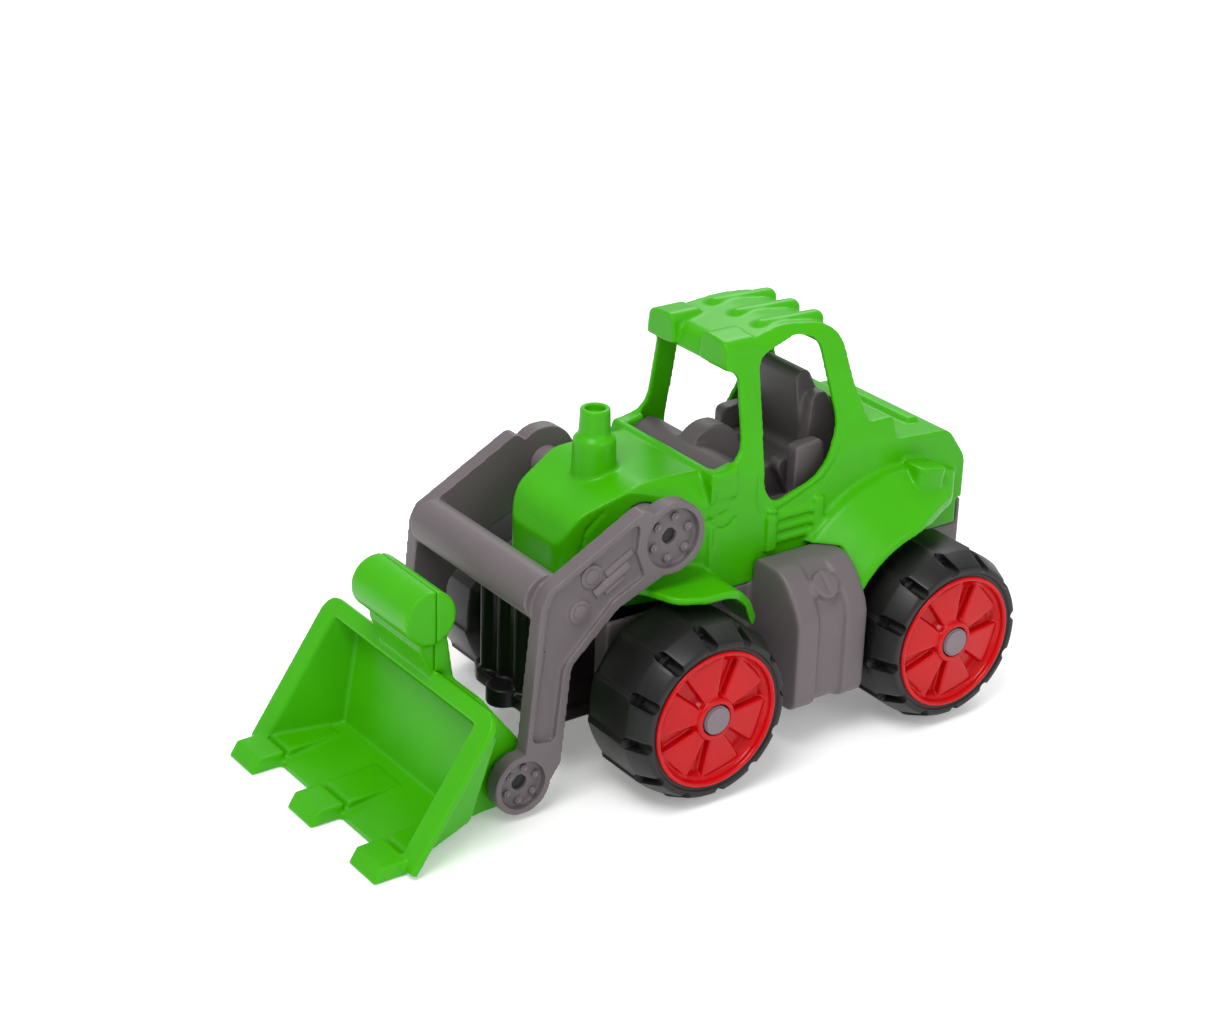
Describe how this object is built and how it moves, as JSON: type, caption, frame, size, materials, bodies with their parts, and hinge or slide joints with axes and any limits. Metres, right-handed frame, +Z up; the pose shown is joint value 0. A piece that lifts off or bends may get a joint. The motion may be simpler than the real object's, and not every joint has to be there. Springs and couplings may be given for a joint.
{
  "type": "toy front loader",
  "caption": "Toy wheel loader with an open cab, a lifting arm frame, a toothed tipping bucket and free-rolling wheels.",
  "frame": {"origin": "centre of the overall footprint, on the ground under the tyres", "axes": "+Z up, -Y the way the bucket faces, +X the loader's left side"},
  "size_m": [0.1562, 0.3, 0.169],
  "materials": {
    "chassis_grey": "fine moulded satin",
    "nose_black": "satin",
    "cockpit_grey": "satin",
    "body_green": "semi-gloss moulded",
    "frame_grey": "fine moulded satin",
    "bucket_green": "semi-gloss moulded",
    "sleeve_grey": "satin",
    "steel_rod": "bright",
    "cap_grey": "satin",
    "tyre_black": "satin",
    "rim_red": "gloss"
  },
  "bodies": {
    "loader": {"chassis": "chassis_grey", "front_nose": "nose_black", "cockpit": "cockpit_grey", "body_shell": "body_green", "pivot_sleeve": "sleeve_grey", "body_screws": "steel_rod"},
    "lift": {"lift_frame": "frame_grey", "lift_shaft": "steel_rod", "bucket_shaft": "steel_rod"},
    "scoop": {"bucket": "bucket_green", "bucket_back": "bucket_green"},
    "front_axle_set": {"front_axle": "steel_rod", "hub_cap_front_left": "cap_grey", "hub_cap_front_right": "cap_grey"},
    "rear_axle_set": {"rear_axle": "steel_rod", "hub_cap_rear_left": "cap_grey", "hub_cap_rear_right": "cap_grey"},
    "wheel_front_left": {"tyre_front_left": "tyre_black", "rim_front_left": "rim_red"},
    "wheel_front_right": {"tyre_front_right": "tyre_black", "rim_front_right": "rim_red"},
    "wheel_rear_left": {"tyre_rear_left": "tyre_black", "rim_rear_left": "rim_red"},
    "wheel_rear_right": {"tyre_rear_right": "tyre_black", "rim_rear_right": "rim_red"}
  },
  "joints": [
    {"name": "lift", "type": "hinge", "parent": "loader", "child": "lift", "pos_m": [0, -0.0115, 0.1025], "axis": [-1, 0, 0], "range_deg": [-2, 72]},
    {"name": "bucket_tilt", "type": "hinge", "parent": "lift", "child": "scoop", "pos_m": [0, -0.0785, 0.0155], "axis": [1, 0, 0], "range_deg": [-12, 60]},
    {"name": "front_axle_spin", "type": "hinge", "parent": "loader", "child": "front_axle_set", "pos_m": [0, -0.01, 0.0375], "axis": [1, 0, 0], "continuous": true},
    {"name": "rear_axle_spin", "type": "hinge", "parent": "loader", "child": "rear_axle_set", "pos_m": [0, 0.112, 0.0375], "axis": [1, 0, 0], "continuous": true},
    {"name": "front_left_wheel_spin", "type": "hinge", "parent": "loader", "child": "wheel_front_left", "pos_m": [0.0588, -0.01, 0.0375], "axis": [1, 0, 0], "continuous": true},
    {"name": "front_right_wheel_spin", "type": "hinge", "parent": "loader", "child": "wheel_front_right", "pos_m": [-0.0588, -0.01, 0.0375], "axis": [1, 0, 0], "continuous": true},
    {"name": "rear_left_wheel_spin", "type": "hinge", "parent": "loader", "child": "wheel_rear_left", "pos_m": [0.0588, 0.112, 0.0375], "axis": [1, 0, 0], "continuous": true},
    {"name": "rear_right_wheel_spin", "type": "hinge", "parent": "loader", "child": "wheel_rear_right", "pos_m": [-0.0588, 0.112, 0.0375], "axis": [1, 0, 0], "continuous": true}
  ]
}
